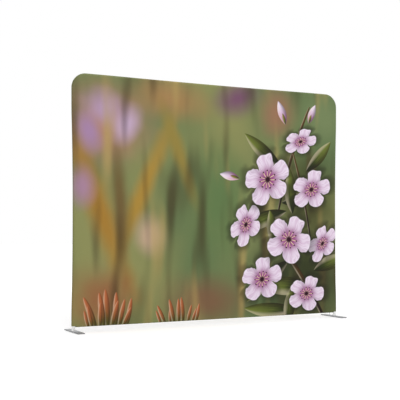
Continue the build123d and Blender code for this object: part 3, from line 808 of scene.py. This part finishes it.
def knit_surface(tree, shader, cut, colour):
    """Ribs of loops, as a bump and as a slight shade in the grooves."""
    ribs = add_node(tree, "TexWave", {"Vector": cut, "Scale": rib_scale, "Distortion": 1.2, "Detail": 1.0,
                                      "Detail Scale": 2.0}, out=1, bands_direction="X")
    loops = add_node(tree, "TexNoise", {"Vector": cut, "Scale": 1 / (rib_pitch * 0.5 * MM), "Detail": 1.0})
    height = add_node(tree, "Math", {0: loops, 1: 0.5, 2: ribs}, operation="MULTIPLY_ADD")
    groove = add_node(tree, "MapRange", {0: height, 1: 0.2, 2: 1.2, 3: 0.94, 4: 1.03})
    grey = add_node(tree, "CombineColor", {0: groove, 1: groove, 2: groove})
    shaded = add_node(tree, "Mix", {0: 1.0, 6: colour, 7: grey}, blend_type="MULTIPLY", **COLOUR)
    bump = add_node(tree, "Bump", {"Height": height, "Strength": 0.25, "Distance": 0.2 * MM})
    rough = add_node(tree, "MapRange", {0: loops, 3: 0.72, 4: 0.86})
    into(tree, shader, Base_Color=shaded, Normal=bump, Roughness=rough)


printed_knit, tree, shader = new_finish("dye_sublimated_polyester_knit", **knit_look)
cut_map = add_node(tree, "UVMap", uv_map="cut")
knit_surface(tree, shader, cut_map, paint(tree, cut_map))

plain_knit, tree, shader = new_finish("unprinted_polyester_knit", **knit_look)
cut_map = add_node(tree, "UVMap", uv_map="cut")
bleed = add_node(tree, "TexNoise", {"Vector": cut_map, "Scale": 4.0, "Detail": 2.0})
white = add_node(tree, "Mix", {0: bleed, 6: srgb("#eceae4"), 7: srgb("#dcdcd6")}, **COLOUR)
knit_surface(tree, shader, cut_map, white)

for sheet in sleeve.values():
    sheet.data.materials.append(printed_knit)
    sheet.data.materials.append(plain_knit)
print("the print has", len(printed_knit.node_tree.nodes), "nodes")

# %% [markdown]
# ### Anodised aluminium tube
# The tubes are extruded, so fine lines run along them, and clear anodising turns them a soft, even
# silver. The lines follow each tube's own direction: upright on the poles, level on the rails.

# %% Metals
def metal(name, light, dark, rough, stretch, grain=0.4, bump=0.03):
    """A metal with lines or grain. stretch is how much longer its marks are along X, Y and Z than across."""
    finish, tree, shader = new_finish(name, Metallic=1.0)
    place = add_node(tree, "TexCoord", out=3)
    scale = [1 / (grain * MM) / s for s in stretch]
    drawn_out = add_node(tree, "Mapping", {0: place, 3: scale})
    marks = add_node(tree, "TexNoise", {"Vector": drawn_out, "Scale": 1.0, "Detail": 3.0})
    handling = add_node(tree, "TexNoise", {"Vector": place, "Scale": 24.0, "Detail": 4.0})
    colour = add_node(tree, "Mix", {0: marks, 6: srgb(dark), 7: srgb(light)}, **COLOUR)
    mixed = add_node(tree, "Math", {0: handling, 1: 0.5, 2: marks}, operation="MULTIPLY_ADD")
    roughness = add_node(tree, "MapRange", {0: mixed, 1: 0.4, 2: 1.1, 3: rough - 0.07, 4: rough + 0.09})
    relief = add_node(tree, "Bump", {"Height": marks, "Strength": bump, "Distance": 0.1 * MM})
    into(tree, shader, Base_Color=colour, Roughness=roughness, Normal=relief)
    return finish


upright_tube = metal("anodised_aluminium_upright", "#e4e4e2", "#cdcdcc", 0.16, (1, 1, 60))
level_tube = metal("anodised_aluminium_level", "#e4e4e2", "#cdcdcc", 0.16, (60, 1, 1))
milled = metal("mill_finish_aluminium", "#c2c3c4", "#9b9c9e", 0.38, (1, 1, 1), grain=0.9, bump=0.08)
rivet_metal = metal("aluminium_rivet", "#cfcfd0", "#a7a8aa", 0.34, (1, 1, 1))
turned = metal("turned_steel", "#b9b9b8", "#8d8d8e", 0.30, (30, 30, 1), grain=0.3)
nickel = metal("nickel_plated_steel", "#dad7cf", "#c3c0b8", 0.16, (1, 1, 1), grain=1.5, bump=0.02)
spring_metal = metal("hardened_spring_steel", "#8f8d8c", "#5f5e60", 0.34, (1, 1, 1))
zinc = metal("zinc_plated_steel", "#c6c8cc", "#a6a9b4", 0.28, (1, 1, 1), grain=1.2)
zip_metal = metal("die_cast_zinc", "#b6b6b8", "#8b8b8e", 0.26, (1, 1, 1), grain=0.8)

for side in ("left", "right"):
    wear(upright_tube, f"{side}_lower_pole", f"{side}_upper_pole", f"{side}_corner_bend")
    wear(level_tube, f"{side}_top_rail", f"{side}_bottom_rail")
    wear(milled, f"{side}_rail_spigot")
    wear(turned, f"{side}_foot_spigot")
    wear(zinc, f"{side}_foot_screw")
for name in joint_names:
    wear(nickel, f"{name}_button")
    wear(spring_metal, springs[name])
    if f"{name}_ferrule" in frame["nodes"]:
        wear(milled, f"{name}_ferrule")
wear(rivet_metal, "ferrule_rivets")
wear(zip_metal, "zip_slider", "zip_puller", "zip_stops")

# %% [markdown]
# ### Powder coat, rubber, tape and thread
# The foot plates are steel with a silver-grey powder coat, baked to a fine orange peel, so their edges
# look dull and their tops shine when seen from low down. The pads under them are moulded rubber, matt and
# nearly black. The zip's tape is a close herringbone of white polyester, its coil nylon dyed white, and
# the stitches are spun polyester.

# %% Soft finishes
def plain(name, light, dark, rough, grain, bump, **constants):
    """A matt material with a fine grain."""
    finish, tree, shader = new_finish(name, **constants)
    place = add_node(tree, "TexCoord", out=3)
    grains = add_node(tree, "TexNoise", {"Vector": place, "Scale": 1 / (grain * MM), "Detail": 2.0})
    colour = add_node(tree, "Mix", {0: grains, 6: srgb(dark), 7: srgb(light)}, **COLOUR)
    roughness = add_node(tree, "MapRange", {0: grains, 3: rough - 0.06, 4: rough + 0.06})
    relief = add_node(tree, "Bump", {"Height": grains, "Strength": bump, "Distance": 0.1 * MM})
    into(tree, shader, Base_Color=colour, Roughness=roughness, Normal=relief)
    return finish


powder_coat = plain("silver_grey_powder_coat", "#858688", "#6e6f72", 0.34, 0.8, 0.22, Metallic=0.25)
rubber = plain("moulded_rubber", "#33312f", "#1f1e1d", 0.78, 0.7, 0.35)
nylon = plain("white_nylon_coil", "#efefec", "#dcdcd8", 0.36, 1.2, 0.08)
sewing_thread = plain("spun_polyester_thread", "#e6e4dc", "#c9c7be", 0.7, 0.4, 0.3)
wear(powder_coat, "left_foot_plate", "right_foot_plate")
wear(rubber, "left_foot_pads", "right_foot_pads")
wear(nylon, *coils.values())
wear(sewing_thread, *stitches.values())

tape_weave, tree, shader = new_finish("woven_polyester_tape", Sheen_Weight=0.1)
place = add_node(tree, "TexCoord", out=3)
along = add_node(tree, "TexWave", {"Vector": place, "Scale": 180.0, "Distortion": 0.6}, out=1,
                 wave_type="BANDS", bands_direction="DIAGONAL")
weave = add_node(tree, "Mix", {0: along, 6: srgb("#d5d4cf"), 7: srgb("#eeede9")}, **COLOUR)
relief = add_node(tree, "Bump", {"Height": along, "Strength": 0.3, "Distance": 0.1 * MM})
fuzz = add_node(tree, "MapRange", {0: along, 3: 0.82, 4: 0.7})
into(tree, shader, Base_Color=weave, Normal=relief, Roughness=fuzz)
wear(tape_weave, *tapes.values())

# %% [markdown]
# ## Floor, light and background
# The studio is white all round. Lamps light the object at a plain level, and a small one right above the
# panel draws the narrow shadow under it. The camera and mirror-like surfaces see a background of plain
# white. For them the floor glows too, more with distance, so that it meets that white and keeps only a
# faint shadow.

# %% Floor
deselect()
bpy.ops.mesh.primitive_plane_add(size=60)
floor = new_piece("studio_floor")
floor_paint, tree, shader = new_finish("matt_white_floor", Roughness=0.9)
shader.inputs["Base Color"].default_value = srgb("#f0f0f0")
shader.inputs["Specular IOR Level"].default_value = 0.0
seen = add_node(tree, "LightPath", out=0)
mirrored = seen.node.outputs["Is Glossy Ray"]
either = add_node(tree, "Math", {0: seen, 1: mirrored}, operation="MAXIMUM")
glow_near = 0.34  # up to 1 m from the middle
glow_far = 0.70  # from 6 m on
away = add_node(tree, "VectorMath", {0: add_node(tree, "TexCoord", out=3)}, out=1, operation="LENGTH")
glow = add_node(tree, "MapRange", {0: away, 1: 1.0, 2: 6.0, 3: glow_near, 4: glow_far}, **SMOOTH)
lift = add_node(tree, "Math", {0: either, 1: glow}, operation="MULTIPLY")
shader.inputs["Emission Color"].default_value = (1, 1, 1, 1)
tree.links.new(lift, shader.inputs["Emission Strength"])
wear(floor_paint, floor)

# %% World
world = bpy.data.worlds.new("white studio")
bpy.context.scene.world = world
world.use_nodes = True
tree = world.node_tree
background = tree.nodes["Background"]
background.inputs["Color"].default_value = (1, 1, 1, 1)
ray = add_node(tree, "LightPath", out=0)
shown = add_node(tree, "Math", {0: ray, 1: ray.node.outputs["Is Glossy Ray"]}, operation="MAXIMUM")
shown = add_node(tree, "Math", {0: shown, 1: ray.node.outputs["Is Transmission Ray"]}, operation="MAXIMUM")
world_light = 0.50
strength = add_node(tree, "MapRange", {0: shown, 3: world_light, 4: 1.0})
tree.links.new(strength, background.inputs["Strength"])


# %% Lamps
def soft_lamp(name, place, aim, size, power):
    data = bpy.data.lights.new(name, "AREA")
    data.shape = "DISK"
    data.size = size
    data.energy = power
    lamp = bpy.data.objects.new(name, data)
    lamp.location = place
    direction = [a - p for a, p in zip(aim, place)]
    flat = hypot(direction[0], direction[1])
    lamp.rotation_euler = (pi / 2 + atan2(direction[2], flat), 0, -atan2(direction[0], direction[1]))
    bpy.context.collection.objects.link(lamp)


soft_lamp("key", (-2.4, -7.4, 3.2), (0, 0, 1.0), 3.0, 210)
soft_lamp("fill", (6.0, -4.0, 3.0), (0, 0, 0.9), 4.0, 70)
soft_lamp("rear", (3.0, 6.0, 4.0), (0, 0, 0.9), 5.0, 80)
soft_lamp("top", (0, 0, 5.4), (0, 0.001, 0), 0.6, 70)

# %% Finish with the Standard view transform
bpy.context.scene.view_settings.view_transform = "Standard"
